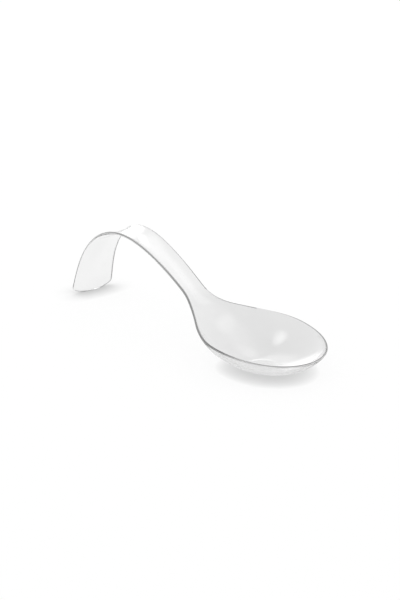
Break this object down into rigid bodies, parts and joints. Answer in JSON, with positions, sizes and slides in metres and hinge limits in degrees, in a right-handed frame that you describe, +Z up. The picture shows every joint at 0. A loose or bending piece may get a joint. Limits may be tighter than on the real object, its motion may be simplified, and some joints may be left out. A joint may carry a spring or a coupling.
{
  "type": "dessert spoon",
  "caption": "Clear moulded dessert spoon with a broad oval bowl and a wide flat handle that arches over and comes down to a foot, so the spoon stands level on a table or tray.",
  "frame": {"origin": "on the table, under the middle of the spoon's box", "axes": "+X along the spoon towards the tip of the bowl, +Y across it, +Z up from the table it stands on"},
  "size_m": [0.1252, 0.0414, 0.0306],
  "materials": {
    "clear_plastic": "crystal-clear, moulded, glossy"
  },
  "bodies": {
    "root": {"bowl": "clear_plastic", "neck": "clear_plastic", "handle": "clear_plastic", "tail": "clear_plastic"}
  },
  "joints": []
}
